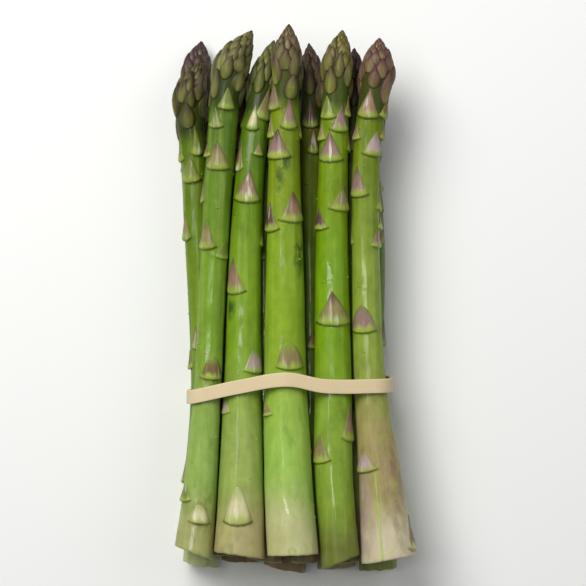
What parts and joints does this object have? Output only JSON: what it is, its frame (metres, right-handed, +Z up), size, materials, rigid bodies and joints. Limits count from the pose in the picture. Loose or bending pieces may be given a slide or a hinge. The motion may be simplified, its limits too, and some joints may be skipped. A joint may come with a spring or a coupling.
{
  "type": "bundle of asparagus",
  "caption": "Bundle of fresh green asparagus spears with scaly pointed tips and cut ends, lying on its side, held by a flat rubber band.",
  "frame": {"origin": "centre of the bundle's bounding box, at the level of the surface it lies on", "axes": "+Y along the bundle from the cut ends towards the tips, +Z up, +X to the right seen from above with the tips away from the viewer"},
  "size_m": [0.0974, 0.2228, 0.0492],
  "materials": {
    "spear_skin": null,
    "rubber_band": "matte tan latex"
  },
  "bodies": {
    "root": {"spear_bottom_1": "spear_skin", "spear_bottom_2": "spear_skin", "spear_bottom_3": "spear_skin", "spear_bottom_4": "spear_skin", "spear_bottom_5": "spear_skin", "spear_middle_1": "spear_skin", "spear_middle_2": "spear_skin", "spear_middle_3": "spear_skin", "spear_middle_4": "spear_skin", "spear_middle_5": "spear_skin", "spear_top_1": "spear_skin", "spear_top_2": "spear_skin", "spear_top_3": "spear_skin", "spear_top_4": "spear_skin", "spear_top_5": "spear_skin", "rubber_band": "rubber_band"}
  },
  "joints": []
}
